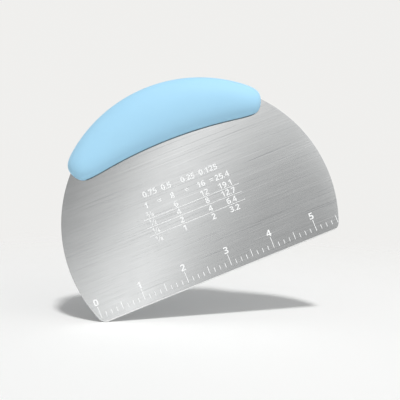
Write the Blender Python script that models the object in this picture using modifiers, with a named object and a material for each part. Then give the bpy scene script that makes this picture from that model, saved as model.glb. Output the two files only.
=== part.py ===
"""Half-round dough scraper: a brushed steel blade in a soft crescent grip.

Units are metres, +Z is up. The blade stands on its straight edge in the XZ plane, its middle plane is
Y = 0, and the etched front face looks towards -Y. The origin is the middle of the straight edge.
"""
import math

import bmesh
import bpy
from mathutils import Matrix, Vector

MM = 0.001

# Blade: a disc of sheet steel, cut off along a straight working edge
BLADE_RADIUS = 76.2 * MM
BLADE_CENTRE_HEIGHT = 31.0 * MM
BLADE_THICKNESS = 1.0 * MM
BLADE_CORNER_RADIUS = 5.0 * MM
RIM_CHAMFER = 0.15 * MM
GROUND_EDGE_HEIGHT = 0.65 * MM
GROUND_EDGE_LAND = 0.5 * MM

# Grip: a crescent between an outer arc, outside the blade's rim, and the arc of its lip
GRIP_OVERHANG = 4.1 * MM
GRIP_HEIGHT = 31.6 * MM
GRIP_LIP_RADIUS = 255.0 * MM
GRIP_END_RADIUS = 8.8 * MM
GRIP_THICKNESS = 19.0 * MM
GRIP_END_THICKNESS = 16.0 * MM
SKIN_WALL = 2.2 * MM

# Rivets: semi-tubular, with a domed head in front and a rolled collar behind
RIVET_SHANK_RADIUS = 2.0 * MM
RIVET_HEAD_RADIUS = 3.5 * MM
RIVET_HEAD_HEIGHT = 1.0 * MM
RIVET_HEAD_RIM = 0.3 * MM
RIVET_SEAT = 4.0 * MM
RIVET_BORE_RADIUS = 1.2 * MM
RIVET_BORE_DEPTH = 2.5 * MM
RIVET_BORE_TIP = 0.6 * MM
RIVET_SPREAD = math.radians(28.0)

# Clearance between pieces that touch
GAP = 0.3 * MM

# Smoothness
BLADE_STEPS = 140
CORNER_STEPS = 6
ROUND_SIDES = 24
DOME_STEPS = 4
GRIP_LEVELS = 2
CAGE_STEPS = 4
NOSE_ANGLE = math.radians(37.0)
CAGE_POINT_ANGLE = math.radians(45.0)

# Tolerances of the mesh work
WELD = 0.001 * MM
FLAT = math.radians(0.05)
HALF_CELL = 0.5

QUARTER_TURN = math.radians(90.0)
UPRIGHT = Matrix.Rotation(QUARTER_TURN, 3, "X")

# Sizes that follow from the ones above
HALF_SHEET = BLADE_THICKNESS / 2.0
GRIP_OUTER_RADIUS = BLADE_RADIUS + GRIP_OVERHANG
LIP_HEIGHT = BLADE_CENTRE_HEIGHT + GRIP_OUTER_RADIUS - GRIP_HEIGHT
BLADE_CENTRE = Vector((0.0, 0.0, BLADE_CENTRE_HEIGHT))
LIP_CENTRE = Vector((0.0, 0.0, LIP_HEIGHT - GRIP_LIP_RADIUS))
RIVET_UNDERSIDE = RIVET_SEAT + GAP


def clear_scene():
    for old in list(bpy.data.objects):
        bpy.data.objects.remove(old, do_unlink=True)


def make_collection(name):
    collection = bpy.data.collections.new(name)
    bpy.context.scene.collection.children.link(collection)
    return collection


def make_material(name, colour, roughness, metallic=0.0):
    material = bpy.data.materials.new(name)
    material.use_nodes = True
    shader = material.node_tree.nodes["Principled BSDF"]
    shader.inputs["Base Color"].default_value = (*colour, 1.0)
    shader.inputs["Roughness"].default_value = roughness
    shader.inputs["Metallic"].default_value = metallic
    return material


def add_part(name, mesh, collection, material):
    mesh.materials.append(material)
    part = bpy.data.objects.new(name, mesh)
    collection.objects.link(part)
    return part


def add_cutter(name, mesh, collection):
    cutter = bpy.data.objects.new(name, mesh)
    collection.objects.link(cutter)
    cutter.hide_render = True
    cutter.display_type = "WIRE"
    return cutter


def cut(part, cutter):
    boolean = part.modifiers.new(cutter.name, "BOOLEAN")
    boolean.operation = "DIFFERENCE"
    boolean.solver = "EXACT"
    boolean.object = cutter


def mesh_from(bm, name):
    bmesh.ops.recalc_face_normals(bm, faces=bm.faces)
    mesh = bpy.data.meshes.new(name)
    bm.to_mesh(mesh)
    bm.free()
    return mesh


def arc(centre_x, centre_z, radius, start, end, steps):
    """Points on an arc, its angles measured from +X towards +Z, both ends included."""
    angles = [start + (end - start) * step / steps for step in range(steps + 1)]
    return [(centre_x + radius * math.cos(a), centre_z + radius * math.sin(a)) for a in angles]


# Blade

def blade_outline(extra):
    """The blade's outline in X and Z, grown by a clearance: rim, rounded corners and straight edge."""
    drop = BLADE_CENTRE_HEIGHT - BLADE_CORNER_RADIUS
    corner_x = math.sqrt((BLADE_RADIUS - BLADE_CORNER_RADIUS) ** 2 - drop ** 2)
    tangent = -math.atan2(drop, corner_x)
    corner = BLADE_CORNER_RADIUS + extra
    down = -QUARTER_TURN
    rim = arc(0.0, BLADE_CENTRE_HEIGHT, BLADE_RADIUS + extra, tangent, math.pi - tangent, BLADE_STEPS)
    left = arc(-corner_x, BLADE_CORNER_RADIUS, corner, math.pi - tangent, math.tau + down, CORNER_STEPS)
    right = arc(corner_x, BLADE_CORNER_RADIUS, corner, down, tangent, CORNER_STEPS)
    return rim[:-1] + left + right[:-1]


def sheet_mesh(name, extra, chamfer):
    """A sheet with the blade's outline, its outer edges chamfered, as a closed mesh in the XZ plane."""
    outline = blade_outline(extra)
    curve = bpy.data.curves.new(name, "CURVE")
    curve.dimensions = "2D"
    curve.fill_mode = "BOTH"
    curve.extrude = HALF_SHEET + extra - chamfer
    curve.bevel_depth = chamfer
    curve.bevel_resolution = 0
    curve.offset = -chamfer
    spline = curve.splines.new("POLY")
    spline.points.add(len(outline) - 1)
    for point, (x, z) in zip(spline.points, outline):
        point.co = (x, z, 0.0, 1.0)
    spline.use_cyclic_u = True
    sheet = bpy.data.objects.new(name, curve)
    bpy.context.scene.collection.objects.link(sheet)
    depsgraph = bpy.context.evaluated_depsgraph_get()
    bm = bmesh.new()
    bm.from_mesh(bpy.data.meshes.new_from_object(sheet.evaluated_get(depsgraph)))
    bpy.data.objects.remove(sheet, do_unlink=True)
    bmesh.ops.remove_doubles(bm, verts=bm.verts, dist=WELD)
    bmesh.ops.rotate(bm, verts=bm.verts, matrix=UPRIGHT)
    bmesh.ops.dissolve_limit(bm, angle_limit=FLAT, verts=bm.verts, edges=bm.edges)
    return mesh_from(bm, name)


def ground_edge_cutter(name, side, collection):
    """A box leaning on the straight edge, which grinds one face down to the land."""
    slope = math.atan2((BLADE_THICKNESS - GROUND_EDGE_LAND) / 2.0, GROUND_EDGE_HEIGHT)
    width = 4.0 * BLADE_THICKNESS
    bm = bmesh.new()
    bmesh.ops.create_cube(bm, size=1.0)
    bmesh.ops.scale(bm, verts=bm.verts, vec=(3.0 * BLADE_RADIUS, width, 2.0 * width))
    bmesh.ops.translate(bm, verts=bm.verts, vec=(0.0, side * width / 2.0, 0.0))
    bmesh.ops.rotate(bm, verts=bm.verts, matrix=Matrix.Rotation(-side * slope, 3, "X"))
    bmesh.ops.translate(bm, verts=bm.verts, vec=(0.0, side * HALF_SHEET, GROUND_EDGE_HEIGHT))
    return add_cutter(name, mesh_from(bm, name), collection)


def make_blade(parts, cutters, material):
    blade = add_part("blade", sheet_mesh("blade", 0.0, RIM_CHAMFER), parts, material)
    cut(blade, ground_edge_cutter("cutter_ground_front", -1.0, cutters))
    cut(blade, ground_edge_cutter("cutter_ground_rear", 1.0, cutters))
    return blade


# Crescent form of the grip, its cavity and the core

def middle_line(angle):
    """Distance from the blade's centre to the crescent's middle line, at an angle from the vertical.

    A circle on the middle line touches the outer arc and the lip's arc, so its centre lies on an
    ellipse whose focal points are the centres of those two arcs.
    """
    total = GRIP_LIP_RADIUS + GRIP_OUTER_RADIUS
    focal = BLADE_CENTRE.z - LIP_CENTRE.z
    return (total ** 2 - focal ** 2) / (2.0 * (total + focal * math.cos(angle)))


def end_angle():
    """Angle from the vertical where the touching circle has the radius of the grip's end."""
    total = GRIP_LIP_RADIUS + GRIP_OUTER_RADIUS
    focal = BLADE_CENTRE.z - LIP_CENTRE.z
    reach = GRIP_OUTER_RADIUS - GRIP_END_RADIUS
    return math.acos(((total ** 2 - focal ** 2) / (2.0 * reach) - total) / focal)


def middle_point(angle):
    direction = Vector((math.sin(angle), 0.0, math.cos(angle)))
    return BLADE_CENTRE + direction * middle_line(angle)


def smooth_share(step):
    """Share of its radius that a ring of cage points keeps once it is smooth, by the step between them."""
    return (2.0 + math.cos(step)) / 3.0


def section(angle, inset):
    """Middle, top and bottom points of the crescent's section at an angle, inset from its surface."""
    middle = middle_point(angle)
    outer = (GRIP_OUTER_RADIUS - inset) / smooth_share(end_angle() / CAGE_STEPS)
    top = BLADE_CENTRE + (middle - BLADE_CENTRE).normalized() * outer
    bottom = LIP_CENTRE + (middle - LIP_CENTRE).normalized() * (GRIP_LIP_RADIUS + inset)
    return middle, top, bottom


def station_of(vert, inset):
    """Centre, upward half height and half thickness of the station that a point of the cube belongs to."""
    index = round(abs(vert.co.x) * (CAGE_STEPS + 1))
    side = math.copysign(1.0, vert.co.x)
    share = min(index, CAGE_STEPS) / CAGE_STEPS
    middle, top, bottom = section(side * share * end_angle(), inset)
    centre = (top + bottom) / 2.0
    half_height = (top - bottom) / 2.0
    thickness = GRIP_THICKNESS + (GRIP_END_THICKNESS - GRIP_THICKNESS) * share ** 2
    half_thickness = thickness / 2.0 - inset
    if index > CAGE_STEPS:
        upward = half_height.normalized()
        onward = Vector((upward.z, 0.0, -upward.x)) * side
        radius = (GRIP_END_RADIUS - inset) / smooth_share(NOSE_ANGLE)
        at_tip = abs(vert.co.y) < HALF_CELL and abs(vert.co.z) < HALF_CELL
        centre = middle + onward * radius * (1.0 if at_tip else math.cos(NOSE_ANGLE))
        half_height = upward * radius * math.sin(NOSE_ANGLE)
        half_thickness *= math.sin(NOSE_ANGLE)
    return centre, half_height, half_thickness


def crescent_mesh(name, inset):
    """A cube cage bent to the crescent, inset all over from the grip's outer surface.

    The cube is cut into stations along X and once along Y and Z, so each station has eight points
    round it. Its smooth surface is the soft form, closed at each end by a round nose.
    """
    bm = bmesh.new()
    bmesh.ops.create_cube(bm, size=2.0)
    for axis, cuts in ((0, 2 * CAGE_STEPS + 1), (1, 1), (2, 1)):
        along = [edge for edge in bm.edges
                 if abs(edge.verts[0].co[axis] - edge.verts[1].co[axis]) > WELD]
        bmesh.ops.subdivide_edges(bm, edges=along, cuts=cuts, use_grid_fill=True)
    for vert in bm.verts:
        centre, half_height, half_thickness = station_of(vert, inset)
        round_about = Vector((vert.co.y, vert.co.z))
        if round_about.length > HALF_CELL:
            round_about = round_about.normalized() / smooth_share(CAGE_POINT_ANGLE)
        vert.co = centre + half_height * round_about.y
        vert.co.y = half_thickness * round_about.x
    mesh = mesh_from(bm, name)
    mesh.shade_smooth()
    return mesh


def soften(thing):
    smooth = thing.modifiers.new("soft form", "SUBSURF")
    smooth.levels = GRIP_LEVELS
    smooth.render_levels = GRIP_LEVELS


def make_grip(parts, cutters, material, slot):
    """The soft skin, hollowed for the core and slotted for the blade."""
    grip = add_part("grip", crescent_mesh("grip", 0.0), parts, material)
    soften(grip)
    cavity = add_cutter("cutter_cavity", crescent_mesh("cutter_cavity", SKIN_WALL), cutters)
    soften(cavity)
    cut(grip, cavity)
    cut(grip, slot)
    return grip


def parting_cutter(name, side, collection):
    """A box over everything on one side of the parting plane, and over half the gap in it."""
    size = 4.0 * BLADE_RADIUS
    bm = bmesh.new()
    bmesh.ops.create_cube(bm, size=size)
    bmesh.ops.translate(bm, verts=bm.verts, vec=(0.0, side * (size - GAP) / 2.0, BLADE_CENTRE_HEIGHT))
    return add_cutter(name, mesh_from(bm, name), collection)


def make_core_half(name, side, parts, cutters, material, slot):
    """One half of the rigid core, with a shallow pocket for its half of the blade's thickness."""
    core = add_part(name, crescent_mesh(name, SKIN_WALL + GAP), parts, material)
    soften(core)
    cut(core, parting_cutter("cutter_parting_" + name, -side, cutters))
    cut(core, slot)
    return core


# Rivets

def rivet_profile():
    """Half section of a rivet from the top of its dome to the bottom of its bore."""
    dome_base = RIVET_UNDERSIDE + RIVET_HEAD_RIM
    dome_rise = RIVET_HEAD_HEIGHT - RIVET_HEAD_RIM
    collar_middle = (RIVET_HEAD_RADIUS + RIVET_BORE_RADIUS) / 2.0
    collar_half = (RIVET_HEAD_RADIUS - RIVET_BORE_RADIUS) / 2.0
    bore_end = RIVET_BORE_DEPTH - RIVET_UNDERSIDE
    dome = [(RIVET_HEAD_RADIUS * math.sin(a), dome_base + dome_rise * math.cos(a))
            for a in (QUARTER_TURN * step / DOME_STEPS for step in range(DOME_STEPS + 1))]
    shank = [(RIVET_HEAD_RADIUS, RIVET_UNDERSIDE), (RIVET_SHANK_RADIUS, RIVET_UNDERSIDE),
             (RIVET_SHANK_RADIUS, -RIVET_UNDERSIDE)]
    collar = [(collar_middle + collar_half * math.cos(a), -RIVET_UNDERSIDE - RIVET_HEAD_HEIGHT * math.sin(a))
              for a in (math.pi * step / (2 * DOME_STEPS) for step in range(2 * DOME_STEPS + 1))]
    bore = [(RIVET_BORE_RADIUS, bore_end), (0.0, bore_end + RIVET_BORE_TIP)]
    return dome + shank + collar + bore


def make_rivet(name, place, parts, material):
    """A rivet turned from its profile, laid along Y with its dome to the front."""
    bm = bmesh.new()
    points = [bm.verts.new((radius, 0.0, height)) for radius, height in rivet_profile()]
    for upper, lower in zip(points, points[1:]):
        bm.edges.new((upper, lower))
    mesh = bpy.data.meshes.new(name)
    bm.to_mesh(mesh)
    bm.free()
    rivet = add_part(name, mesh, parts, material)
    turn = rivet.modifiers.new("turned", "SCREW")
    turn.axis = "Z"
    turn.steps = ROUND_SIDES
    turn.render_steps = ROUND_SIDES
    turn.use_merge_vertices = True
    turn.merge_threshold = WELD
    turn.use_smooth_shade = True
    rivet.rotation_euler.x = QUARTER_TURN
    rivet.location = place


def drill(name, radius, near, far, place, collection):
    """A cylinder cutter along Y from one depth to another, centred on a rivet."""
    bm = bmesh.new()
    bmesh.ops.create_cone(bm, cap_ends=True, segments=ROUND_SIDES, radius1=radius, radius2=radius,
                          depth=far - near)
    bmesh.ops.rotate(bm, verts=bm.verts, matrix=UPRIGHT)
    bmesh.ops.translate(bm, verts=bm.verts, vec=(place.x, (near + far) / 2.0, place.z))
    return add_cutter(name, mesh_from(bm, name), collection)


def drill_for_rivet(name, place, blade, core_front, core_rear, cutters):
    """The rivet's hole through the blade and the core, and a pocket for its head at each end."""
    outside = GRIP_THICKNESS / 2.0
    hole = drill("cutter_hole_" + name, RIVET_SHANK_RADIUS + GAP, -outside, outside, place, cutters)
    head = RIVET_HEAD_RADIUS + GAP
    front_pocket = drill("cutter_front_" + name, head, -outside, -RIVET_SEAT, place, cutters)
    rear_pocket = drill("cutter_rear_" + name, head, RIVET_SEAT, outside, place, cutters)
    for part in (blade, core_front, core_rear):
        cut(part, hole)
    cut(core_front, front_pocket)
    cut(core_rear, rear_pocket)


def main():
    clear_scene()
    parts = make_collection("dough_scraper")
    cutters = make_collection("cutters")

    steel = make_material("brushed_steel", (0.62, 0.63, 0.63), 0.32, metallic=1.0)
    soft_blue = make_material("soft_grip", (0.45, 0.75, 0.96), 0.6)
    core_plastic = make_material("core_plastic", (0.80, 0.80, 0.76), 0.5)
    rivet_metal = make_material("rivet_metal", (0.75, 0.75, 0.76), 0.35, metallic=1.0)

    slot = add_cutter("cutter_slot", sheet_mesh("cutter_slot", GAP, 0.0), cutters)
    blade = make_blade(parts, cutters, steel)
    make_grip(parts, cutters, soft_blue, slot)
    core_front = make_core_half("core_front", -1.0, parts, cutters, core_plastic, slot)
    core_rear = make_core_half("core_rear", 1.0, parts, cutters, core_plastic, slot)
    for name, angle in (("rivet_left", -RIVET_SPREAD), ("rivet_middle", 0.0), ("rivet_right", RIVET_SPREAD)):
        place = middle_point(angle)
        make_rivet(name, place, parts, rivet_metal)
        drill_for_rivet(name, place, blade, core_front, core_rear, cutters)


main()
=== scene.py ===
"""Dough scraper: finished pieces, materials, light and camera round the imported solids.

Units are metres, +Z is up. The blade stands on its straight edge in the XZ plane, its middle plane is
Y = 0, and its etched face looks towards -Y. The origin is the middle of the straight edge.
"""
import math

import bmesh
import bpy
from bpy.props import FloatProperty, FloatVectorProperty, IntProperty, PointerProperty
from mathutils import Matrix, Vector


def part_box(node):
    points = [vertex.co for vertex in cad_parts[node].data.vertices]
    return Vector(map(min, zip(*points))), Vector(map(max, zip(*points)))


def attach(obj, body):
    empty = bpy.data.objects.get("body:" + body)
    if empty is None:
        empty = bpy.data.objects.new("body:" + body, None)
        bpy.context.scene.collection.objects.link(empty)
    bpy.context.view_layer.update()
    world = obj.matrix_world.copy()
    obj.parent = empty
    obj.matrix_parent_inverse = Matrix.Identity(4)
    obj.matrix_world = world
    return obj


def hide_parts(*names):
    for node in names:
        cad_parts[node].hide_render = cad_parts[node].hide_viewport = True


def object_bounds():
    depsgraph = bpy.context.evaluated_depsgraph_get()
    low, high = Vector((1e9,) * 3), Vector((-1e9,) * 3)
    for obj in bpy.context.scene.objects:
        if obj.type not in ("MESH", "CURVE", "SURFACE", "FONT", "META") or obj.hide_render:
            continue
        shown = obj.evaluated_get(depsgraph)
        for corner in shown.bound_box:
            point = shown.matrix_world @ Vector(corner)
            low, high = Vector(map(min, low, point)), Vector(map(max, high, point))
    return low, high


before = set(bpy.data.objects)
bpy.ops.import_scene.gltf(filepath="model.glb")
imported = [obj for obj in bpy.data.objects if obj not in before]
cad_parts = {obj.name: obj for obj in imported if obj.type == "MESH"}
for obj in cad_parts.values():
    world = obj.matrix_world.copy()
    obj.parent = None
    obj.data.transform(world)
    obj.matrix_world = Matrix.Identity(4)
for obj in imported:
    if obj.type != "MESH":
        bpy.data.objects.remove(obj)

bl_info = {
    "name": "Dough Scraper",
    "version": (1, 0, 0),
    "blender": (4, 5, 0),
    "location": "3D View > Sidebar > Scraper",
    "description": "Finishes a half-round dough scraper: brushed blade, etched ruler and soft grip",
    "category": "Object",
}

MM = 0.001
INCH = 25.4 * MM

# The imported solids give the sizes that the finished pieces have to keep
CAD_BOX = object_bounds()
BLADE_LOW, BLADE_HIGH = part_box("blade")
RIM_RADIUS = (BLADE_HIGH.x - BLADE_LOW.x) / 2.0
RIM_CENTRE = Vector((0.0, 0.0, BLADE_HIGH.z - RIM_RADIUS))
HALF_SHEET = (BLADE_HIGH.y - BLADE_LOW.y) / 2.0
GRIP_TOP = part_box("grip")[1].z
RIVETS = ("rivet_left", "rivet_middle", "rivet_right")
CORE_HALVES = ("core_front", "core_rear")

# Directions and turns
RIGHT = Vector((1.0, 0.0, 0.0))
FORWARD = Vector((0.0, 1.0, 0.0))
UP = Vector((0.0, 0.0, 1.0))
QUARTER_TURN = math.radians(90.0)
UPRIGHT = Matrix.Rotation(QUARTER_TURN, 4, "X")

# Mesh tolerances
WELD = 0.001 * MM
FLAT = math.radians(0.5)
CREASE = math.radians(15.0)
SKIN_CREASE = math.radians(30.0)

# Share of a face's normal along Y that tells the sheet's two faces from its edges
FACES_OUT = 0.5

# Zero of the font's bold sans-serif digits, in which the 1 has a flag
SANS_ZERO = 0x1D7EC
FRACTION_SLASH = "\u2044"

# Shares of a number's height: a fraction's small digits, and how far they stand from its slash
SMALL_DIGIT = 0.58
SMALL_DIGIT_ASIDE = 0.40

# Steps of the round shapes
RIM_STEPS = 360
CORNER_STEPS = 16
HOLE_STEPS = 48
DIGIT_STEPS = 6
FLOOR_STEPS = 96

# Cage of the grip: its steps to an end, and half a cell, which tells points on its axis from others
CAGE_STEPS = 4
HALF_CELL = 0.5
NOSE_ANGLE = math.radians(37.0)
CAGE_POINT_ANGLE = math.radians(45.0)
SKIN_LEVELS = 4
CAVITY_LEVELS = 3


def length(name, description, millimetres):
    return FloatProperty(name=name, description=description, default=millimetres * MM, unit="LENGTH",
                         subtype="DISTANCE", precision=5)


def angle(name, description, degrees):
    return FloatProperty(name=name, description=description, default=math.radians(degrees),
                         unit="ROTATION", subtype="ANGLE")


def share(name, description, value):
    return FloatProperty(name=name, description=description, default=value, min=0.0, subtype="FACTOR")


def colour(name, description, value):
    return FloatVectorProperty(name=name, description=description, default=value, size=3, min=0.0,
                               max=1.0, subtype="COLOR")


class BladeSettings(bpy.types.PropertyGroup):
    """Sizes and colours of the steel blade. Its rim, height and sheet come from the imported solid."""
    corner_radius: length("Corner radius", "Rounding where the rim meets the straight edge", 5.0)
    edge_radius: length("Edge radius", "Rounding of the sheet's outer edges", 0.15)
    ground_height: length("Ground height", "Height of the ground facets along the straight edge", 0.65)
    ground_land: length("Land", "Thickness that the ground facets leave at the straight edge", 0.5)
    hole_radius: length("Hole radius", "Radius of each rivet's hole", 2.3)
    steel: colour("Steel", "Colour of the brushed steel", (0.67, 0.68, 0.68))
    steel_low: colour("Steel in a line", "Colour of the steel at the bottom of a brushed line",
                      (0.59, 0.60, 0.60))
    scratch: colour("Scratch", "Colour of the steel in a long scratch", (0.39, 0.40, 0.41))
    # Painted glint: a lighter steel colour on some lines, which paints in the light that they catch
    glint: colour("Glint", "Colour of the steel on a line that catches the light", (0.86, 0.87, 0.87))
    # Partly a painted highlight: the ground facets' steel is lighter, which brightens the strip that they
    # mirror
    ground_steel: colour("Ground steel", "Colour of the ground facets", (0.79, 0.79, 0.79))


class EtchSettings(bpy.types.PropertyGroup):
    """Sizes of the etched ruler and table."""
    ruler_inches: FloatProperty(name="Ruler", description="Length of the ruler in inches", default=5.5)
    ruler_start: length("Ruler start", "Place of the zero mark along the straight edge", -69.2)
    parts_per_inch: IntProperty(name="Parts per inch", description="Divisions of an inch", default=8)
    foot: length("Foot", "Height of the marks' lower ends above the straight edge", 3.3)
    whole_mark: length("Whole mark", "Length of the mark at each inch", 6.3)
    half_mark: length("Half mark", "Length of the mark at each half inch", 4.3)
    part_mark: length("Part mark", "Length of the other marks", 2.4)
    line: length("Line", "Width of an etched line", 0.32)
    ruler_digit: length("Ruler numbers", "Height of the numbers above the marks", 3.7)
    ruler_digit_gap: length("Number gap", "Space between a mark and its number", 0.6)
    table_digit: length("Table numbers", "Height of the numbers in the table", 3.2)
    table_left: length("Table left end", "Left end of the table's rules", -28.6)
    table_right: length("Table right end", "Right end of the table's rules", 27.4)
    proud: length("Proud", "How far the etched skin stands off the steel", 0.02)
    sunk: length("Sunk", "How far the etched skin reaches into the steel", 0.01)
    white: colour("Etched white", "Colour of the etched marks", (0.97, 0.98, 0.98))


class GripSettings(bpy.types.PropertyGroup):
    """Sizes and colours of the grip and of the core inside it."""
    height: length("Height", "Height of the crescent at its middle", 31.6)
    lip_radius: length("Lip radius", "Radius of the lip's arc", 255.0)
    end_radius: length("End radius", "Radius of the crescent's ends", 8.8)
    thickness: length("Thickness", "Thickness at the middle", 19.0)
    end_thickness: length("End thickness", "Thickness towards the ends", 16.0)
    wall: length("Wall", "Thickness of the soft skin", 2.2)
    slot_clearance: length("Slot clearance", "Space between the blade and the slot's walls", 0.3)
    skin: colour("Skin", "Colour of the soft skin", (0.412, 0.735, 0.965))
    skin_pale: colour("Pale skin", "Colour of the soft skin where it is handled", (0.430, 0.750, 0.970))
    # Painted shade: the skin's colour in the blade's slot and along a line under the lip, where shade
    # falls
    joint: colour("Joint", "Colour of the skin in the joint with the blade", (0.03, 0.07, 0.10))
    core: colour("Core", "Colour of the moulded core", (0.80, 0.80, 0.76))
    rivet: colour("Rivet", "Colour of the rivets", (0.76, 0.76, 0.77))


class StageSettings(bpy.types.PropertyGroup):
    """Camera, light and floor. Levels are shares of what a white surface sends back."""
    azimuth: angle("Azimuth", "Turn of the camera round the object", -3.42)
    elevation: angle("Elevation", "Height of the camera above the object", -0.90)
    roll: angle("Roll", "Turn of the camera round its own axis", -21.77)
    distance: length("Distance", "From the camera to the point it looks at", 439.5)
    aim_across: length("Aim across", "Point that the camera looks at, along the straight edge", 4.1)
    aim_up: length("Aim up", "Point that the camera looks at, above the straight edge", 42.9)
    lens: length("Lens", "Focal length", 72.0)
    floor_pitch: angle("Floor pitch", "How far the camera looks down onto the floor", 5.0)
    floor_radius: length("Floor radius", "Radius at which the floor has faded out", 420.0)
    floor: colour("Floor", "Colour of the floor", (0.93, 0.93, 0.92))
    backdrop: colour("Backdrop", "Colour behind the object", (0.87, 0.865, 0.85))
    sky_level: share("Sky level", "Even light from above", 0.39)
    under_level: share("Under level", "Even light from below", 0.31)
    far_level: share("Far level", "Even light from low on the far side, which lights the back", 0.9)
    key_level: share("Key level", "Light from the softbox beside the camera", 0.28)
    top_level: share("Top level", "Light from high in front, which casts the shadow", 0.62)


# Mesh helpers

def new_object(name, mesh):
    thing = bpy.data.objects.new(name, mesh)
    bpy.context.scene.collection.objects.link(thing)
    return thing


def mesh_from(bm, name, recalculate=True):
    if recalculate:
        bmesh.ops.recalc_face_normals(bm, faces=bm.faces)
    mesh = bpy.data.meshes.new(name)
    bm.to_mesh(mesh)
    bm.free()
    return mesh


def applied_mesh(thing):
    """The object's mesh with its modifiers applied. A text is turned into a mesh the same way."""
    depsgraph = bpy.context.evaluated_depsgraph_get()
    return bpy.data.meshes.new_from_object(thing.evaluated_get(depsgraph))


def remove(*things):
    for thing in things:
        bpy.data.objects.remove(thing, do_unlink=True)


def finish_piece(thing, material, replaced=()):
    """Gives a piece its material, hides the imported parts that it replaces, and attaches it to the body
    it rides on.
    """
    thing.data.materials.clear()
    thing.data.materials.append(material)
    if replaced:
        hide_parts(*replaced)
    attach(thing, "root")


# Blade

def draw_blade(bm, settings, clearance):
    """The blade's outline in the XZ plane: a point turned round a corner, the rim and the other corner."""
    radius = settings.corner_radius
    drop = RIM_CENTRE.z - radius
    corner_x = math.sqrt((RIM_RADIUS - radius) ** 2 - drop ** 2)
    below = math.atan2(drop, corner_x)
    arcs = ((Vector((corner_x, 0.0, radius)), QUARTER_TURN - below, CORNER_STEPS),
            (RIM_CENTRE, math.pi + 2.0 * below, RIM_STEPS),
            (Vector((-corner_x, 0.0, radius)), QUARTER_TURN - below, CORNER_STEPS))
    first = bm.verts.new((corner_x, 0.0, -clearance))
    last = first
    for centre, sweep, steps in arcs:
        turned = bmesh.ops.spin(bm, geom=[last], cent=centre, axis=-FORWARD, dvec=(0.0, 0.0, 0.0),
                                angle=sweep, steps=steps)
        last = next(part for part in turned["geom_last"] if isinstance(part, bmesh.types.BMVert))
    bm.edges.new((last, first))


def thicken(bm, half_thickness):
    """Fills the outlines in the XZ plane and gives them thickness about Y = 0."""
    bmesh.ops.triangle_fill(bm, use_beauty=True, edges=bm.edges[:], normal=-FORWARD)
    grown = bmesh.ops.extrude_face_region(bm, geom=bm.faces[:])["geom"]
    rear = [part for part in grown if isinstance(part, bmesh.types.BMVert)]
    bmesh.ops.translate(bm, verts=bm.verts, vec=-FORWARD * half_thickness)
    bmesh.ops.translate(bm, verts=rear, vec=2.0 * FORWARD * half_thickness)
    bmesh.ops.recalc_face_normals(bm, faces=bm.faces)


def round_sheet_edges(bm, radius):
    """Steps both faces in and outwards twice, which rounds the sheet's edges and those of its holes."""
    # Sine and cosine halfway round the edge's quarter circle
    halfway = math.sqrt(0.5)
    for step_in, step_out in ((1.0 - halfway, halfway), (halfway, 1.0 - halfway)):
        for side in (-1.0, 1.0):
            outermost = max(vert.co.y * side for vert in bm.verts)
            sheet = [face for face in bm.faces if face.normal.y * side > FACES_OUT
                     and abs(face.calc_center_median().y * side - outermost) < WELD]
            bmesh.ops.inset_region(bm, faces=sheet, thickness=radius * step_in, depth=radius * step_out,
                                   use_boundary=True, use_even_offset=True)


def grind_edge(bm, settings):
    """Cuts a facet on each side of the straight edge and closes the cut."""
    depth = HALF_SHEET - settings.ground_land / 2.0
    for side in (-1.0, 1.0):
        outward = Vector((0.0, side * settings.ground_height, -depth))
        bmesh.ops.bisect_plane(bm, geom=bm.verts[:] + bm.edges[:] + bm.faces[:], dist=WELD,
                               plane_co=(0.0, side * HALF_SHEET, settings.ground_height),
                               plane_no=outward.normalized(), clear_outer=True)
        bmesh.ops.holes_fill(bm, edges=[edge for edge in bm.edges if edge.is_boundary], sides=0)


def map_brushing(bm):
    """A UV map whose U runs across the brushed lines, for the blade's stretched highlights."""
    layer = bm.loops.layers.uv.new("across_brushing")
    for face in bm.faces:
        for loop in face.loops:
            place = loop.vert.co
            loop[layer].uv = ((place.z + place.y) / INCH, (place.x + place.y) / INCH)


def blade_mesh(settings):
    bm = bmesh.new()
    draw_blade(bm, settings, 0.0)
    for name in RIVETS:
        low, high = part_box(name)
        place = Matrix.Translation((low + high) / 2.0) @ UPRIGHT
        place.translation.y = 0.0
        bmesh.ops.create_circle(bm, cap_ends=False, segments=HOLE_STEPS, radius=settings.hole_radius,
                                matrix=place)
    thicken(bm, HALF_SHEET - settings.edge_radius)
    round_sheet_edges(bm, settings.edge_radius)
    grind_edge(bm, settings)
    map_brushing(bm)
    mesh = mesh_from(bm, "brushed_blade")
    mesh.shade_smooth()
    mesh.set_sharp_from_angle(angle=CREASE)
    return mesh


# Grip

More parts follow.
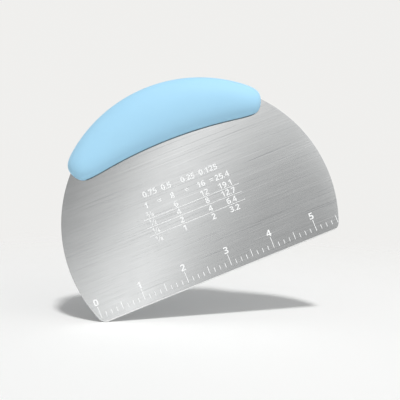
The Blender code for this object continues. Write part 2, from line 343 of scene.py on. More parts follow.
class Crescent:
    """The grip's form, between an arc outside the rim and the arc of its lip."""

    def __init__(self, grip):
        self.grip = grip
        self.outer_radius = GRIP_TOP - RIM_CENTRE.z
        self.lip_centre = Vector((0.0, 0.0, GRIP_TOP - grip.height - grip.lip_radius))
        self.total = grip.lip_radius + self.outer_radius
        self.focal = RIM_CENTRE.z - self.lip_centre.z
        reach = self.outer_radius - grip.end_radius
        self.end_angle = math.acos((self.ellipse() / (2.0 * reach) - self.total) / self.focal)

    def ellipse(self):
        """Numerator of the middle line's polar form. The arcs' centres are its foci."""
        return self.total ** 2 - self.focal ** 2

    def middle_point(self, turn):
        """Point on the middle line, where a circle touches both arcs, so the line is an ellipse."""
        distance = self.ellipse() / (2.0 * (self.total + self.focal * math.cos(turn)))
        return RIM_CENTRE + Vector((math.sin(turn), 0.0, math.cos(turn))) * distance

    def section(self, turn, inset):
        """Middle, top and bottom points of the section at a turn from the vertical."""
        middle = self.middle_point(turn)
        outer = (self.outer_radius - inset) / smooth_share(self.end_angle / CAGE_STEPS)
        top = RIM_CENTRE + (middle - RIM_CENTRE).normalized() * outer
        bottom = self.lip_centre + (middle - self.lip_centre).normalized() * (self.grip.lip_radius + inset)
        return middle, top, bottom

    def station(self, place, inset):
        """Centre, upward half height and half thickness of the station that a cage point belongs to."""
        index = round(abs(place.x) * (CAGE_STEPS + 1))
        side = math.copysign(1.0, place.x)
        along = min(index, CAGE_STEPS) / CAGE_STEPS
        middle, top, bottom = self.section(side * along * self.end_angle, inset)
        centre = (top + bottom) / 2.0
        half_height = (top - bottom) / 2.0
        full = self.grip.thickness + (self.grip.end_thickness - self.grip.thickness) * along ** 2
        half_thickness = full / 2.0 - inset
        if index > CAGE_STEPS:
            upward = half_height.normalized()
            onward = Vector((upward.z, 0.0, -upward.x)) * side
            radius = (self.grip.end_radius - inset) / smooth_share(NOSE_ANGLE)
            at_tip = abs(place.y) < HALF_CELL and abs(place.z) < HALF_CELL
            centre = middle + onward * radius * (1.0 if at_tip else math.cos(NOSE_ANGLE))
            half_height = upward * radius * math.sin(NOSE_ANGLE)
            half_thickness *= math.sin(NOSE_ANGLE)
        return centre, half_height, half_thickness

    def form(self, name, inset, levels):
        """A cube cage bent to the crescent and smoothed, inset all over from the grip's surface."""
        bm = bmesh.new()
        bmesh.ops.create_cube(bm, size=2.0)
        for axis, cuts in ((0, 2 * CAGE_STEPS + 1), (1, 1), (2, 1)):
            along = [edge for edge in bm.edges
                     if abs(edge.verts[0].co[axis] - edge.verts[1].co[axis]) > WELD]
            bmesh.ops.subdivide_edges(bm, edges=along, cuts=cuts, use_grid_fill=True)
        for vert in bm.verts:
            centre, half_height, half_thickness = self.station(vert.co, inset)
            around = Vector((vert.co.y, vert.co.z))
            if around.length > HALF_CELL:
                around = around.normalized() / smooth_share(CAGE_POINT_ANGLE)
            vert.co = centre + half_height * around.y
            vert.co.y = half_thickness * around.x
        mesh = mesh_from(bm, name)
        mesh.shade_smooth()
        form = new_object(name, mesh)
        smooth = form.modifiers.new("soft form", "SUBSURF")
        smooth.levels = levels
        smooth.render_levels = levels
        return form


def smooth_share(step):
    """Share of its radius that a ring of cage points keeps once it is smooth, by the step between them."""
    return (2.0 + math.cos(step)) / 3.0


def cut(thing, cutter):
    boolean = thing.modifiers.new(cutter.name, "BOOLEAN")
    boolean.operation = "DIFFERENCE"
    boolean.solver = "EXACT"
    boolean.object = cutter


def slot_cutter(blade, grip):
    """The blade's outline, grown by the slot's clearance."""
    bm = bmesh.new()
    draw_blade(bm, blade, grip.slot_clearance)
    thicken(bm, HALF_SHEET + grip.slot_clearance)
    return new_object("slot_cutter", mesh_from(bm, "slot_cutter"))


def grip_mesh(blade, grip):
    """The soft skin, hollowed for the core and slotted for the blade."""
    crescent = Crescent(grip)
    skin = crescent.form("skin_form", 0.0, SKIN_LEVELS)
    cavity = crescent.form("cavity_form", grip.wall, CAVITY_LEVELS)
    slot = slot_cutter(blade, grip)
    cut(skin, cavity)
    cut(skin, slot)
    mesh = applied_mesh(skin)
    remove(skin, cavity, slot)
    mesh.name = "soft_skin"
    mesh.set_sharp_from_angle(angle=SKIN_CREASE)
    return mesh


# Etched marks

def etched_skin(settings):
    """Thickness of the etched skin, which is partly let into the front face, and the Y of its middle."""
    return settings.proud + settings.sunk, -HALF_SHEET - (settings.proud - settings.sunk) / 2.0


def add_bar(bm, settings, centre_x, low_z, width, height):
    """One etched line on the front face."""
    depth, centre_y = etched_skin(settings)
    place = Matrix.LocRotScale(Vector((centre_x, centre_y, low_z + height / 2.0)), None,
                               Vector((width, depth, height)))
    bmesh.ops.create_cube(bm, size=1.0, matrix=place)


def sans_digits(words):
    return "".join(chr(SANS_ZERO + int(sign)) if sign.isdigit() else sign for sign in words)


class Lettering:
    """Upright numbers in the blade's front face, each string a thin skin let into the steel."""

    def __init__(self, settings):
        self.settings = settings
        self.digit = self.outline("0").dimensions.y
        remove(bpy.data.objects["lettering"])

    def outline(self, words):
        text = bpy.data.curves.new("lettering", "FONT")
        text.body = sans_digits(words)
        text.align_x = "CENTER"
        text.resolution_u = DIGIT_STEPS
        thing = new_object("lettering", text)
        bpy.context.view_layer.update()
        return thing

    def add(self, bm, words, centre_x, foot_z, height):
        """Adds a string to the mesh, its foot and the middle of its width at the given place."""
        size = height / self.digit
        depth, centre_y = etched_skin(self.settings)
        thing = self.outline(words)
        thing.data.extrude = depth / 2.0 / size
        letters = applied_mesh(thing)
        remove(thing)
        foot = Matrix.Translation((centre_x, centre_y, foot_z))
        letters.transform(foot @ UPRIGHT @ Matrix.Scale(size, 4))
        bm.from_mesh(letters)
        bpy.data.meshes.remove(letters)

    def add_fraction(self, bm, upper, lower, centre_x, foot_z, height):
        """A fraction the height of a number: a small upper number, a slash and a small lower number."""
        small = SMALL_DIGIT * height
        aside = SMALL_DIGIT_ASIDE * height
        self.add(bm, upper, centre_x - aside, foot_z + height - small, small)
        self.add(bm, FRACTION_SLASH, centre_x, foot_z, height)
        self.add(bm, lower, centre_x + aside, foot_z, small)


def etched_object(name, bm, material):
    bmesh.ops.remove_doubles(bm, verts=bm.verts, dist=WELD)
    bmesh.ops.dissolve_limit(bm, angle_limit=FLAT, verts=bm.verts, edges=bm.edges)
    finish_piece(new_object(name, mesh_from(bm, name)), material)


def ruler_marks(settings):
    """A mark at each part of an inch, longer at the halves and longest at the inches."""
    bm = bmesh.new()
    parts = settings.parts_per_inch
    count = round(settings.ruler_inches * parts)
    for index in range(count + 1):
        height = settings.part_mark
        if index % (parts // 2) == 0:
            height = settings.half_mark
        if index % parts == 0:
            height = settings.whole_mark
        across = settings.ruler_start + index * INCH / parts
        add_bar(bm, settings, across, settings.foot, settings.line, height)
    return bm


def ruler_numbers(settings):
    """The numbers of the inches, each above its mark."""
    bm = bmesh.new()
    lettering = Lettering(settings)
    foot = settings.foot + settings.whole_mark + settings.ruler_digit_gap
    for inch in range(math.floor(settings.ruler_inches) + 1):
        lettering.add(bm, str(inch), settings.ruler_start + inch * INCH, foot, settings.ruler_digit)
    return bm


def number_table(settings):
    """Plain numbers: an inch and its parts, in eighths, in sixteenths and in millimetres. The row over
    them has the parts as decimals."""
    bm = bmesh.new()
    lettering = Lettering(settings)
    digit = settings.table_digit
    decimals = (("0.75  0.5", -15.9 * MM), ("0.25  0.125", 8.9 * MM))
    decimals_foot = 55.4 * MM
    header = ("1", "8", "16", "25.4")
    header_foot = 49.4 * MM
    columns = (-24.3 * MM, -9.0 * MM, 7.8 * MM, 20.2 * MM)
    rows = ((44.3 * MM, "3/4", ("6", "12", "19.1")),
            (39.7 * MM, "1/2", ("4", "8", "12.7")),
            (35.0 * MM, "1/4", ("2", "4", "6.4")),
            (30.2 * MM, "1/8", ("1", "2", "3.2")))
    rule_drop = 0.9 * MM
    rule_line = 0.8 * settings.line
    for words, across in decimals:
        lettering.add(bm, words, across, decimals_foot, digit)
    for words, across in zip(header, columns):
        lettering.add(bm, words, across, header_foot, digit)
    for left, right in zip(columns, columns[1:]):
        lettering.add(bm, "=", (left + right) / 2.0, header_foot, digit)
    for foot, fraction, numbers in rows:
        lettering.add_fraction(bm, *fraction.split("/"), columns[0], foot, digit)
        for words, across in zip(numbers, columns[1:]):
            lettering.add(bm, words, across, foot, digit)
    width = settings.table_right - settings.table_left
    middle = (settings.table_right + settings.table_left) / 2.0
    for foot in (row[0] for row in rows[:-1]):
        add_bar(bm, settings, middle, foot - rule_drop, width, rule_line)
    return bm


# Shader groups

# Numbers of the Mix node's sockets, because their names repeat
MIX_FACTOR = 0
MIX_VALUES = (2, 3)
MIX_COLOURS = (6, 7)
MIXED_VALUE = 0
MIXED_COLOUR = 2

# Levels of the noise between which a mask changes, and a scratch's depth in depths of the other lines
TONE_LEVELS = (0.25, 0.75)
SCRATCH_LEVELS = (0.69, 0.72)
# Painted glints, bright lines painted as highlights, come from the low end of the scratches' noise
PAINTED_GLINT_LEVELS = (0.27, 0.30)
PATCH_LEVELS = (0.35, 0.65)
SCRATCH_DEPTH = 2.0


def new_group(name, sizes, results):
    """An empty shader node group that reads a vector and some sizes, and its input and output nodes."""
    group = bpy.data.node_groups.new(name, "ShaderNodeTree")
    group.interface.new_socket("Vector", in_out="INPUT", socket_type="NodeSocketVector")
    for label, size in sizes.items():
        socket = group.interface.new_socket(label, in_out="INPUT", socket_type="NodeSocketFloat")
        socket.default_value = size
    for label in results:
        group.interface.new_socket(label, in_out="OUTPUT", socket_type="NodeSocketFloat")
    return group, group.nodes.new("NodeGroupInput"), group.nodes.new("NodeGroupOutput")


def add_node(tree, kind, values=(), **settings):
    """A node with its settings, and the values of its unlinked sockets by name or number."""
    made = tree.nodes.new(kind)
    for name, value in settings.items():
        setattr(made, name, value)
    for socket, value in dict(values).items():
        made.inputs[socket].default_value = value
    return made


def plug(tree, value, socket):
    """Links a socket to this one, or sets this one to a number, a vector or a colour."""
    if isinstance(value, bpy.types.NodeSocket):
        tree.links.new(value, socket)
    elif value is not None:
        socket.default_value = value


def maths(tree, operation, first, second=None, kind="ShaderNodeMath", result="Value"):
    """A Math node on sockets or plain values. Returns its result."""
    made = add_node(tree, kind, operation=operation)
    plug(tree, first, made.inputs[0])
    plug(tree, second, made.inputs[1])
    return made.outputs[result]


def vector_maths(tree, operation, first, second=None, result="Vector"):
    return maths(tree, operation, first, second, "ShaderNodeVectorMath", result)


def measure_along(tree, vector, direction):
    return vector_maths(tree, "DOT_PRODUCT", vector, tuple(direction), "Value")


def measure_from(tree, vector, point):
    return vector_maths(tree, "DISTANCE", vector, tuple(point), "Value")


def ramp(tree, value, low, high, to_low=0.0, to_high=1.0, smooth=True):
    """Maps a socket's value from one range to another, with soft ends or as a straight line."""
    made = tree.nodes.new("ShaderNodeMapRange")
    made.interpolation_type = "SMOOTHSTEP" if smooth else "LINEAR"
    tree.links.new(value, made.inputs["Value"])
    for socket, number in (("From Min", low), ("From Max", high), ("To Min", to_low), ("To Max", to_high)):
        made.inputs[socket].default_value = number
    return made.outputs["Result"]


def fade(tree, value, full, gone):
    """A mask that is full up to one value and gone from another one on."""
    return ramp(tree, value, full, gone, 1.0, 0.0)


def mix_colours(tree, factor, first, second):
    made = add_node(tree, "ShaderNodeMix", data_type="RGBA")
    plug(tree, factor, made.inputs[MIX_FACTOR])
    for socket, value in zip(MIX_COLOURS, (first, second)):
        opaque = value if isinstance(value, bpy.types.NodeSocket) else (*value, 1.0)
        plug(tree, opaque, made.inputs[socket])
    return made.outputs[MIXED_COLOUR]


def mix_values(tree, factor, first, second):
    made = tree.nodes.new("ShaderNodeMix")
    plug(tree, factor, made.inputs[MIX_FACTOR])
    for socket, value in zip(MIX_VALUES, (first, second)):
        plug(tree, value, made.inputs[socket])
    return made.outputs[MIXED_VALUE]


def mix_shaders(tree, factor, first, second):
    made = tree.nodes.new("ShaderNodeMixShader")
    tree.links.new(factor, made.inputs[0])
    tree.links.new(first.outputs[0], made.inputs[1])
    tree.links.new(second.outputs[0], made.inputs[2])
    return made


def noise(tree, vector, scale, detail, roughness):
    made = add_node(tree, "ShaderNodeTexNoise", {"Detail": detail, "Roughness": roughness})
    tree.links.new(vector, made.inputs["Vector"])
    plug(tree, scale, made.inputs["Scale"])
    return made.outputs["Fac"]


def brushed_lines_group():
    """Lines left by brushing along X: their tone, masks of the dark scratches and of bright lines that
    are painted highlights, and a height."""
    group, start, end = new_group("Brushed lines", {"Line Length": 30.0 * MM, "Line Width": 0.4 * MM},
                                  ("Tone", "Scratches", "Painted Glints", "Height"))
    spread = []
    patterns = ((1.0, 1.0, 0.0, 3.0), (2.4, 1.5, 7.3, 3.0), (3.2, 0.8, 31.7, 0.5))
    for long_share, wide_share, offset, detail in patterns:
        stretch = group.nodes.new("ShaderNodeCombineXYZ")
        for axis, size, factor in (("X", "Line Length", long_share), ("Y", "Line Width", wide_share),
                                   ("Z", "Line Width", wide_share)):
            scaled = maths(group, "MULTIPLY", start.outputs[size], factor)
            group.links.new(maths(group, "DIVIDE", 1.0, scaled), stretch.inputs[axis])
        drawn = vector_maths(group, "MULTIPLY", start.outputs["Vector"], stretch.outputs[0])
        moved = vector_maths(group, "ADD", drawn, (offset, offset, offset))
        spread.append(noise(group, moved, 1.0, detail=detail, roughness=0.65))
    fine, broad, scratch = spread
    tone = maths(group, "MULTIPLY", maths(group, "ADD", fine, broad), 0.5)
    group.links.new(ramp(group, tone, *TONE_LEVELS, smooth=False), end.inputs["Tone"])
    scratches = ramp(group, scratch, *SCRATCH_LEVELS)
    group.links.new(scratches, end.inputs["Scratches"])
    # Painted glints: bright lines that stand in for light caught by the brushing
    group.links.new(fade(group, scratch, *PAINTED_GLINT_LEVELS), end.inputs["Painted Glints"])
    groove = maths(group, "MULTIPLY", scratches, SCRATCH_DEPTH)
    group.links.new(maths(group, "SUBTRACT", tone, groove), end.inputs["Height"])
    return group


def soft_patches_group():
    """Broad, weak patches, as handling and wiping leave on any surface."""
    group, start, end = new_group("Soft patches", {"Patch Size": 20.0 * MM}, ("Patches",))
    scale = maths(group, "DIVIDE", 1.0, start.outputs["Patch Size"])
    cloud = noise(group, start.outputs["Vector"], scale, detail=3.0, roughness=0.55)
    group.links.new(ramp(group, cloud, *PATCH_LEVELS), end.inputs["Patches"])
    return group


def fine_grain_group():
    """The fine grain of a moulded surface, as a height."""
    group, start, end = new_group("Fine grain", {"Grain Size": 0.3 * MM}, ("Height",))
    scale = maths(group, "DIVIDE", 1.0, start.outputs["Grain Size"])
    grain = noise(group, start.outputs["Vector"], scale, detail=2.0, roughness=0.6)
    group.links.new(grain, end.inputs["Height"])
    return group


def shared_group(name):
    """A shader group by name, built the first time that a material asks for it."""
    builders = {"Brushed lines": brushed_lines_group, "Soft patches": soft_patches_group,
                "Fine grain": fine_grain_group}
    return bpy.data.node_groups.get(name) or builders[name]()


# Materials

# Half of the stretch along the blade over which its scratches and painted glints gain strength
# The gain is painted light: the marks show more towards the right, where the steel mirrors darker light
SCRATCH_GAIN_REACH = 45.0 * MM

# Widths over which a mask blends out above the ground facets and inside the rim
GROUND_BLEND = 0.05 * MM
RIM_BLEND = 1.0 * MM

# Painted shade of the joint: where it is full and where it is gone, off the middle plane and above the
# lip's arc
SLOT_SHADE_DEPTH = (0.9 * MM, 1.3 * MM)
LIP_SHADE_DEPTH = (1.4 * MM, 2.9 * MM)
LIP_SHADE_HEIGHT = (0.8 * MM, 1.6 * MM)


def dimmed(tint, share_kept):
    """A colour with less light, for the low parts of a finish."""
    return [share_kept * part for part in tint]


class Finish:
    """A material with a Principled shader, object coordinates and helpers for its patterns."""

    def __init__(self, name, values):
        self.material = bpy.data.materials.new(name)
        self.material.use_nodes = True
        self.tree = self.material.node_tree
        self.shader = self.tree.nodes["Principled BSDF"]
        for socket, value in values.items():
            self.shader.inputs[socket].default_value = value
        self.place = self.tree.nodes.new("ShaderNodeTexCoord").outputs["Object"]

    def effect(self, name, **values):
        """A shared group in this material, reading object coordinates, with this material's values."""
        made = self.tree.nodes.new("ShaderNodeGroup")
        made.node_tree = shared_group(name)
        self.tree.links.new(self.place, made.inputs["Vector"])
        for socket, value in values.items():
            made.inputs[socket.replace("_", " ").title()].default_value = value
        return made

    def feed(self, result, socket):
        self.tree.links.new(result, self.shader.inputs[socket])

    def paint(self, mask, low, high):
        """Two colours by a mask. Either may be a socket."""
        self.feed(mix_colours(self.tree, mask, low, high), "Base Color")

    def roughen(self, mask, low, high):
        self.feed(ramp(self.tree, mask, 0.0, 1.0, low, high), "Roughness")

    def bump(self, height, depth):
        made = add_node(self.tree, "ShaderNodeBump", {"Strength": 1.0, "Distance": depth})
        self.tree.links.new(height, made.inputs["Height"])
        self.feed(made.outputs["Normal"], "Normal")


def ground_shade(finish, settings):
    """Mask of the ground facets along the straight edge, where a lighter steel is partly a painted
    highlight.
    """
    height = measure_along(finish.tree, finish.place, UP)
    above = ramp(finish.tree, height, settings.ground_height, settings.ground_height + GROUND_BLEND)
    return maths(finish.tree, "SUBTRACT", 1.0, above)


def steel_finish(settings):
    """Stainless steel brushed along the straight edge, with a ground edge. Its scratches and painted
    glints get stronger towards its right end, which paints in how the light falls there."""
    finish = Finish("brushed_steel", {"Metallic": 1.0, "Anisotropic": 0.4})
    tree = finish.tree
    lines = finish.effect("Brushed lines", line_length=13.0 * MM, line_width=0.30 * MM)
    patches = finish.effect("Soft patches", patch_size=26.0 * MM)
    toned = mix_colours(tree, lines.outputs["Tone"], settings.steel_low, settings.steel)
    across = measure_along(tree, finish.place, RIGHT)
    # Scratches and painted glints; their gain towards the right end paints in how the light falls
    for mask, at_left, at_right, line_colour in (("Scratches", 0.30, 0.66, settings.scratch),
                                                 ("Painted Glints", 0.24, 0.53, settings.glint)):
        strength = ramp(tree, across, -SCRATCH_GAIN_REACH, SCRATCH_GAIN_REACH, at_left, at_right)
        shown = maths(tree, "MULTIPLY", lines.outputs[mask], strength)
        toned = mix_colours(tree, shown, toned, line_colour)
    # Lighter steel on the ground facets, partly a painted highlight of the strip that they mirror
    finish.paint(ground_shade(finish, settings), toned, settings.ground_steel)
    wiped = ramp(tree, patches.outputs["Patches"], 0.0, 1.0, 0.150, 0.165)
    rough = maths(tree, "ADD", wiped, maths(tree, "MULTIPLY", lines.outputs["Tone"], 0.03))
    finish.feed(rough, "Roughness")
    tangent = add_node(tree, "ShaderNodeTangent", direction_type="UV_MAP", uv_map="across_brushing")
    finish.feed(tangent.outputs["Tangent"], "Tangent")
    finish.bump(lines.outputs["Height"], 0.0008 * MM)
    return finish.material


def etched_finish(settings):
    """The pale, matt skin that etching leaves on the steel."""
    finish = Finish("etched_white", {"Roughness": 0.6, "Specular IOR Level": 0.3})
    lines = finish.effect("Brushed lines", line_length=12.0 * MM, line_width=0.3 * MM)
    finish.paint(lines.outputs["Tone"], dimmed(settings.white, 0.93), settings.white)
    return finish.material


def etched_white(settings):
    """The etched marks' material, built the first time that marks ask for it."""
    return bpy.data.materials.get("etched_white") or etched_finish(settings)


def joint_shade(finish, grip):
    """Mask of painted shade on the skin beside the blade: in its slot, and a wider line under the lip."""
    tree = finish.tree
    depth = vector_maths(tree, "MULTIPLY", finish.place, tuple(FORWARD))
    from_blade = vector_maths(tree, "LENGTH", depth, result="Value")
    from_centre = measure_from(tree, finish.place, RIM_CENTRE)
    from_lip_centre = measure_from(tree, finish.place, Crescent(grip).lip_centre)
    in_slot = fade(tree, from_blade, *SLOT_SHADE_DEPTH)
    near_blade = fade(tree, from_blade, *LIP_SHADE_DEPTH)
    on_lip = fade(tree, from_lip_centre, *(grip.lip_radius + height for height in LIP_SHADE_HEIGHT))
    inside_rim = fade(tree, from_centre, RIM_RADIUS - RIM_BLEND, RIM_RADIUS)
    under_lip = maths(tree, "MULTIPLY", near_blade, on_lip)
    return maths(tree, "MULTIPLY", maths(tree, "MAXIMUM", in_slot, under_lip), inside_rim)


def skin_finish(settings):
    """Soft-touch rubber: matt, with a fine grain, a faint bloom and painted shade where it closes onto the
    blade.
    """
    finish = Finish("soft_touch", {"Specular IOR Level": 0.35, "Sheen Weight": 0.08,
                                   "Sheen Roughness": 0.5})
    patches = finish.effect("Soft patches", patch_size=30.0 * MM)
    grain = finish.effect("Fine grain", grain_size=0.28 * MM)
    worn = maths(finish.tree, "MULTIPLY", patches.outputs["Patches"], 0.5)
    toned = mix_colours(finish.tree, worn, settings.skin, settings.skin_pale)
    # Painted shade where the skin closes onto the blade, in the slot and under the lip
    finish.paint(joint_shade(finish, settings), toned, settings.joint)
    finish.roughen(patches.outputs["Patches"], 0.60, 0.66)
    finish.bump(grain.outputs["Height"], 0.012 * MM)
    return finish.material


def core_finish(settings):
    """Moulded plastic of the core, as it comes from the tool."""
    finish = Finish("core_plastic", {"Specular IOR Level": 0.5})
    patches = finish.effect("Soft patches", patch_size=12.0 * MM)
    grain = finish.effect("Fine grain", grain_size=0.5 * MM)
    finish.paint(patches.outputs["Patches"], dimmed(settings.core, 0.94), settings.core)
    finish.roughen(patches.outputs["Patches"], 0.45, 0.55)
    finish.bump(grain.outputs["Height"], 0.01 * MM)
    return finish.material


def rivet_finish(settings):
    """Drawn aluminium of the rivets."""
    finish = Finish("rivet_metal", {"Metallic": 1.0})
    lines = finish.effect("Brushed lines", line_length=4.0 * MM, line_width=0.15 * MM)
    finish.paint(lines.outputs["Tone"], dimmed(settings.rivet, 0.88), settings.rivet)
    finish.roughen(lines.outputs["Tone"], 0.28, 0.38)
    finish.bump(lines.outputs["Height"], 0.003 * MM)
    return finish.material


# Stage

# Camera: the sensor's width in millimetres, and the nearest and farthest points that it sees
SENSOR_WIDTH = 36.0
CLIP_START = 0.01
CLIP_END = 20.0

# Floor: how far it stays below the object, and the share of its radius at which it begins to fade
FLOOR_GAP = 0.05 * MM
FLOOR_FADE_START = 0.35

# Levels of the screens that the blade mirrors, at their foot and at their top
LEFT_SCREEN = (0.78, 0.28)
RIGHT_SCREEN = (0.34, 0.80)

# Opening between the screens: two points of the blade's face that mirror it, its width and its level
OPENING_LOW = (-52.7 * MM, 7.4 * MM)
OPENING_HIGH = (7.0 * MM, 74.7 * MM)
OPENING_WIDTH = math.radians(2.5)
OPENING_LEVEL = 1.12

# Where the camera's side of the world begins and is full, and where its far side is full and ends, as
# shares of the way to the near side
CAMERA_SIDE = (-0.2, 0.6)
FAR_SIDE = (-0.8, -0.2)

# Level that metal mirrors from the far side, top of the glow there, and what the glow takes away above
FAR_MIRRORED = 0.95
GLOW_TOP = 0.5
ABOVE_GLOW = -0.2

# Light that no matt surface has passed on has a Diffuse Depth below this
FIRST_PASS = 0.5

# Lamps: their directions are shares to the right, upwards and to the near side
KEY_DIRECTION = (1.0, 0.5, 0.8)
KEY_DISTANCE = 0.75
KEY_SIZE = 0.9
TOP_DIRECTION = (0.16, 1.0, 0.55)
TOP_SPREAD = math.radians(7.0)


def camera_axes(stage):
    """The camera's right, up and backward directions."""
    turn, rise, roll = stage.azimuth, stage.elevation, stage.roll
    back = Vector((math.sin(turn) * math.cos(rise), -math.cos(turn) * math.cos(rise), math.sin(rise)))
    level = Vector((math.cos(turn), math.sin(turn), 0.0))
    above = back.cross(level)
    right = level * math.cos(roll) + above * math.sin(roll)
    up = above * math.cos(roll) - level * math.sin(roll)
    return right, up, back


def camera_place(stage):
    aim = Vector((stage.aim_across, 0.0, stage.aim_up))
    return aim + camera_axes(stage)[2] * stage.distance


def make_camera(stage):
    right, up, back = camera_axes(stage)
    lens = bpy.data.cameras.new("camera")
    lens.sensor_width = SENSOR_WIDTH
    lens.lens = stage.lens / MM
    lens.clip_start = CLIP_START
    lens.clip_end = CLIP_END
    camera = new_object("camera", lens)
    turned = Matrix((right, up, back)).transposed().to_4x4()
    camera.matrix_world = Matrix.Translation(camera_place(stage)) @ turned
    bpy.context.scene.camera = camera


def floor_axes(stage):
    """Upward direction of a floor that is level in the camera's picture, and the one to its near side."""
    right, up, back = camera_axes(stage)
    upward = up * math.cos(stage.floor_pitch) + back * math.sin(stage.floor_pitch)
    return upward, right.cross(upward)


def floor_finish(stage, touch):
    """Pale and matt, faded out with distance, and clear from below."""
    finish = Finish("pale_floor", {"Base Color": (*stage.floor, 1.0), "Roughness": 0.9,
                                   "Specular IOR Level": 0.1})
    tree = finish.tree
    clear = tree.nodes.new("ShaderNodeBsdfTransparent")
    away = measure_from(tree, finish.place, touch)
    faded = ramp(tree, away, FLOOR_FADE_START * stage.floor_radius, stage.floor_radius)
    behind = tree.nodes.new("ShaderNodeNewGeometry").outputs["Backfacing"]
    shown = mix_shaders(tree, maths(tree, "MAXIMUM", faded, behind), finish.shader, clear)
    tree.links.new(shown.outputs[0], tree.nodes["Material Output"].inputs["Surface"])
    return finish.material


def make_floor(stage, blade):
    """A round floor under the blade's lowest corner, level in the camera's picture."""
    upward = floor_axes(stage)[0]
    touch = min((vert.co for vert in blade.data.vertices), key=upward.dot).copy()
    bm = bmesh.new()
    bmesh.ops.create_circle(bm, cap_ends=True, segments=FLOOR_STEPS, radius=stage.floor_radius)
    bmesh.ops.rotate(bm, verts=bm.verts, matrix=UP.rotation_difference(upward).to_matrix())
    bmesh.ops.translate(bm, verts=bm.verts, vec=touch - upward * FLOOR_GAP)
    bm.normal_update()
    for face in bm.faces:
        if face.normal.dot(upward) < 0.0:
            face.normal_flip()
    floor = new_object("floor", mesh_from(bm, "floor", recalculate=False))
    floor.data.materials.append(floor_finish(stage, touch))


def mirrored(stage, across, height):
    """Direction in which the blade's front face mirrors the camera's ray to one of its points."""
    ray = (Vector((across, -HALF_SHEET, height)) - camera_place(stage)).normalized()
    return Vector((ray.x, -ray.y, ray.z))


def mirrored_screens(stage, tree, towards):
    """What the blade mirrors from the camera's side: two grey screens, the left one darker towards its
    top and the right one towards its foot, with a bright slanting opening between them."""
    left = mirrored(stage, -RIM_RADIUS, 0.0)
    right = mirrored(stage, RIM_RADIUS, RIM_RADIUS)
    across = ramp(tree, measure_along(tree, towards, RIGHT), left.x, right.x, smooth=False)
    rise = measure_along(tree, towards, UP)
    left_screen = ramp(tree, rise, left.z, right.z, *LEFT_SCREEN, smooth=False)
    right_screen = ramp(tree, rise, left.z, right.z, *RIGHT_SCREEN, smooth=False)
    screens = mix_values(tree, across, left_screen, right_screen)
    aslant = mirrored(stage, *OPENING_LOW).cross(mirrored(stage, *OPENING_HIGH)).normalized()
    widths = maths(tree, "DIVIDE", measure_along(tree, towards, aslant), OPENING_WIDTH)
    squared = maths(tree, "MULTIPLY", widths, widths)
    opening = maths(tree, "EXPONENT", maths(tree, "MULTIPLY", squared, -1.0))
    return maths(tree, "ADD", screens, maths(tree, "MULTIPLY", opening, OPENING_LEVEL))


def white_light(tree, level):
    made = add_node(tree, "ShaderNodeBackground", {"Color": (1.0, 1.0, 1.0, 1.0)})
    tree.links.new(level, made.inputs["Strength"])
    return made


def make_world(stage):
    """Even light for matt surfaces, also where metal passes it on, with a glow low on the far side. The
    camera sees a pale backdrop, and so does metal, but for the screens at the camera's side."""
    world = bpy.data.worlds.new("studio")
    bpy.context.scene.world = world
    world.use_nodes = True
    tree = world.node_tree
    tree.nodes.clear()
    towards = tree.nodes.new("ShaderNodeTexCoord").outputs["Generated"]
    upward, nearward = floor_axes(stage)
    near = measure_along(tree, towards, nearward)
    climb = measure_along(tree, towards, upward)
    studio = mix_values(tree, ramp(tree, near, *CAMERA_SIDE), FAR_MIRRORED,
                        mirrored_screens(stage, tree, towards))
    above_and_below = ramp(tree, climb, -1.0, 1.0, stage.under_level, stage.sky_level, smooth=False)
    far_glow = maths(tree, "MULTIPLY", fade(tree, near, *FAR_SIDE),
                     ramp(tree, climb, 0.0, GLOW_TOP, stage.far_level, ABOVE_GLOW))
    even = white_light(tree, maths(tree, "ADD", above_and_below, far_glow))
    backdrop = add_node(tree, "ShaderNodeBackground", {"Color": (*stage.backdrop, 1.0)})
    rays = tree.nodes.new("ShaderNodeLightPath")
    shiny = maths(tree, "MAXIMUM", rays.outputs["Is Glossy Ray"], rays.outputs["Is Transmission Ray"])
    seen = maths(tree, "LESS_THAN", rays.outputs["Diffuse Depth"], FIRST_PASS)
    lit = mix_shaders(tree, maths(tree, "MULTIPLY", shiny, seen), even, white_light(tree, studio))
    shown = mix_shaders(tree, rays.outputs["Is Camera Ray"], lit, backdrop)
    output = tree.nodes.new("ShaderNodeOutputWorld")
    tree.links.new(shown.outputs[0], output.inputs["Surface"])


def aim_lamp(name, kind, direction, distance, target):
    """A lamp that lies in a direction from the target and points at it."""
    lamp = new_object(name, bpy.data.lights.new(name, kind))
    lamp.location = target + direction.normalized() * distance
    lamp.rotation_mode = "QUATERNION"
    lamp.rotation_quaternion = direction.to_track_quat("Z", "Y")
    return lamp.data


def lamp_direction(stage, shares):
    """Direction with shares of the camera's right, the floor's upward direction and its near side."""
    across, above, before = shares
    upward, nearward = floor_axes(stage)
    return camera_axes(stage)[0] * across + upward * above + nearward * before


def make_lamps(stage):
    """A softbox beside the camera, and a light from high in front. A white surface that faces one of
    them sends back about its level."""
    centre = (CAD_BOX[0] + CAD_BOX[1]) / 2.0
    key = aim_lamp("key_softbox", "AREA", lamp_direction(stage, KEY_DIRECTION), KEY_DISTANCE, centre)
    key.shape = "SQUARE"
    key.size = KEY_SIZE
    key.energy = stage.key_level * math.pi ** 2 * KEY_DISTANCE ** 2
    top = aim_lamp("top_light", "SUN", lamp_direction(stage, TOP_DIRECTION), 1.0, centre)
    top.angle = TOP_SPREAD
    top.energy = stage.top_level * math.pi


# Operators

class ScraperStep:
    """What every step of the scraper shares."""
    bl_options = {"REGISTER", "UNDO"}

    @classmethod
    def poll(cls, context):
        return context.scene is not None


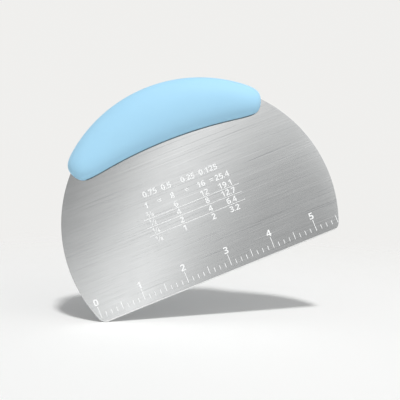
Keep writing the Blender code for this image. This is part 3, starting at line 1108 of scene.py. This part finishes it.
class SCRAPER_OT_make_blade(ScraperStep, bpy.types.Operator):
    """Make the half-round blade, its edges, its ground straight edge and its rivet holes"""
    bl_idname = "scraper.make_blade"
    bl_label = "Make Blade"

    def execute(self, context):
        settings = context.scene.scraper_blade
        blade = new_object("brushed_blade", blade_mesh(settings))
        finish_piece(blade, steel_finish(settings), ("blade",))
        return {"FINISHED"}


class SCRAPER_OT_etch_ruler(ScraperStep, bpy.types.Operator):
    """Etch the inch ruler along the straight edge: its marks and its numbers"""
    bl_idname = "scraper.etch_ruler"
    bl_label = "Etch Ruler"

    def execute(self, context):
        settings = context.scene.scraper_etching
        etched_object("ruler_marks", ruler_marks(settings), etched_white(settings))
        etched_object("ruler_numbers", ruler_numbers(settings), etched_white(settings))
        return {"FINISHED"}


class SCRAPER_OT_etch_table(ScraperStep, bpy.types.Operator):
    """Etch the table of plain numbers in the middle of the blade"""
    bl_idname = "scraper.etch_table"
    bl_label = "Etch Table"

    def execute(self, context):
        settings = context.scene.scraper_etching
        etched_object("number_table", number_table(settings), etched_white(settings))
        return {"FINISHED"}


class SCRAPER_OT_make_grip(ScraperStep, bpy.types.Operator):
    """Make the soft crescent grip with its cavity and its slot for the blade"""
    bl_idname = "scraper.make_grip"
    bl_label = "Make Grip"

    def execute(self, context):
        settings = context.scene.scraper_grip
        grip = new_object("soft_skin", grip_mesh(context.scene.scraper_blade, settings))
        finish_piece(grip, skin_finish(settings), ("grip",))
        return {"FINISHED"}


class SCRAPER_OT_finish_core(ScraperStep, bpy.types.Operator):
    """Give the core halves and the rivets inside the grip their finishes"""
    bl_idname = "scraper.finish_core"
    bl_label = "Finish Core and Rivets"

    def execute(self, context):
        settings = context.scene.scraper_grip
        for names, material in ((CORE_HALVES, core_finish(settings)), (RIVETS, rivet_finish(settings))):
            for name in names:
                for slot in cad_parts[name].material_slots:
                    slot.material = material
        return {"FINISHED"}


class SCRAPER_OT_make_stage(ScraperStep, bpy.types.Operator):
    """Make the camera, the pale floor, the world and the lamps"""
    bl_idname = "scraper.make_stage"
    bl_label = "Make Stage"

    def execute(self, context):
        stage = context.scene.scraper_stage
        make_camera(stage)
        make_floor(stage, bpy.data.objects["brushed_blade"])
        make_world(stage)
        make_lamps(stage)
        context.scene.view_settings.view_transform = "Standard"
        return {"FINISHED"}


class SCRAPER_PT_steps(bpy.types.Panel):
    """Lists the steps that build the scraper"""
    bl_idname = "SCRAPER_PT_steps"
    bl_label = "Dough Scraper"
    bl_space_type = "VIEW_3D"
    bl_region_type = "UI"
    bl_category = "Scraper"

    def draw(self, context):
        for step in STEPS:
            self.layout.operator(step.bl_idname)


SETTINGS = {"scraper_blade": BladeSettings, "scraper_etching": EtchSettings,
            "scraper_grip": GripSettings, "scraper_stage": StageSettings}
STEPS = (SCRAPER_OT_make_blade, SCRAPER_OT_etch_ruler, SCRAPER_OT_etch_table, SCRAPER_OT_make_grip,
         SCRAPER_OT_finish_core, SCRAPER_OT_make_stage)


def register():
    for made in (*SETTINGS.values(), *STEPS, SCRAPER_PT_steps):
        bpy.utils.register_class(made)
    for name, group in SETTINGS.items():
        setattr(bpy.types.Scene, name, PointerProperty(type=group))


def unregister():
    for name in SETTINGS:
        delattr(bpy.types.Scene, name)
    for made in (SCRAPER_PT_steps, *reversed(STEPS), *reversed(SETTINGS.values())):
        bpy.utils.unregister_class(made)


def main():
    register()
    bpy.ops.scraper.make_blade()
    bpy.ops.scraper.etch_ruler()
    bpy.ops.scraper.etch_table()
    bpy.ops.scraper.make_grip()
    bpy.ops.scraper.finish_core()
    bpy.ops.scraper.make_stage()


if __name__ == "__main__":
    main()
